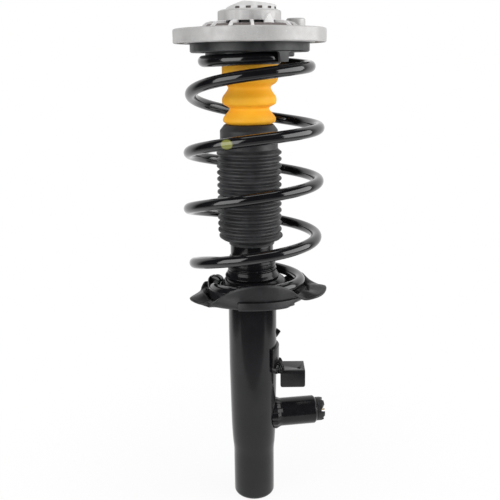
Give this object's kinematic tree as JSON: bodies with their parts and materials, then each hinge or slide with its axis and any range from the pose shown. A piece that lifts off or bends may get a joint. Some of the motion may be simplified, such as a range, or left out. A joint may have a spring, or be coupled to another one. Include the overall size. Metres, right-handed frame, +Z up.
{
  "type": "strut assembly",
  "caption": "Front suspension strut with coil spring, bump stop, dust boot, side damping valve, hose bracket and turning top mount.",
  "frame": {"origin": "middle of the lower end face of the strut tube", "axes": "+Z up along the strut axis, -Y the side shown in the picture, +X the picture's right"},
  "size_m": [0.1771, 0.171, 0.6074],
  "materials": {
    "bearing_plastic": "matte",
    "black_paint": "satin",
    "black_plastic": "matte",
    "black_rubber": "matte",
    "boot_plastic": "satin",
    "brass_pin": "satin",
    "bronze_band": "matte",
    "cap_plastic": "matte",
    "cast_aluminium": "satin",
    "chromed_rod": "gloss",
    "galvanised": "satin",
    "plain_steel": "satin",
    "satin_charcoal_paint": "satin",
    "sintered_iron": "matte",
    "spring_coating": "gloss",
    "urethane_yellow": "matte"
  },
  "bodies": {
    "strut_body": {"strut_tube": "satin_charcoal_paint", "base_valve": "sintered_iron", "inner_cylinder": "plain_steel", "intermediate_tube": "plain_steel", "rod_guide": "sintered_iron", "rod_seal": "black_rubber", "tube_cap": "plain_steel", "lower_spring_seat": "black_paint", "seat_stiffener": "black_paint", "seat_collar": "black_paint", "lower_spring_pad": "black_rubber", "coil_spring": "spring_coating", "dust_boot": "boot_plastic", "valve_housing": "satin_charcoal_paint", "valve_body": "plain_steel", "valve_seal": "black_rubber", "solenoid_coil": "black_plastic", "pole_core": "plain_steel", "valve_connector": "black_plastic", "connector_pins": "brass_pin", "saddle_plate": "satin_charcoal_paint", "hose_bracket": "satin_charcoal_paint", "bracket_weld": "satin_charcoal_paint", "locating_tooth": "satin_charcoal_paint"},
    "spool": {"valve_spool": "plain_steel", "valve_armature": "plain_steel"},
    "upper_seat": {"upper_isolator": "black_rubber", "seat_carrier": "black_plastic", "lower_race": "plain_steel"},
    "ball_cage": {"bearing_cage": "bearing_plastic", "bearing_balls": "plain_steel"},
    "top_mount": {"upper_race": "plain_steel", "mount_housing": "cast_aluminium", "mount_cap": "cap_plastic", "rubber_bush": "black_rubber", "bush_sleeve": "plain_steel", "rod_nut": "galvanised", "bump_stop_cup": "black_paint", "bump_stop": "urethane_yellow", "piston_rod": "chromed_rod", "rebound_stop": "plain_steel", "piston": "sintered_iron", "piston_band": "bronze_band", "rebound_discs": "plain_steel", "compression_discs": "plain_steel", "piston_nut": "galvanised"}
  },
  "joints": [
    {"name": "strut_stroke", "type": "slide", "parent": "strut_body", "child": "upper_seat", "axis": [0, 0, 1], "range_m": [-0.115, 0], "stiffness_N_per_m": 30000, "springref_m": 0.08, "deforming": ["coil_spring", "dust_boot"]},
    {"name": "steer_swivel", "type": "hinge", "parent": "upper_seat", "child": "top_mount", "pos_m": [0, 0, 0.5674], "axis": [0, 0, 1], "range_deg": [-40, 40]},
    {"name": "bearing_roll", "type": "hinge", "parent": "upper_seat", "child": "ball_cage", "pos_m": [0, 0, 0.5674], "axis": [0, 0, 1], "range_deg": [-20, 20]},
    {"name": "spool_slide", "type": "slide", "parent": "strut_body", "child": "spool", "axis": [0.9877, 0.1564, 0], "range_m": [0, 0.002], "stiffness_N_per_m": 2500, "springref_m": -0.002}
  ],
  "couplings": [
    {"joint": "bearing_roll", "follows": "steer_swivel", "ratio": 0.5}
  ]
}
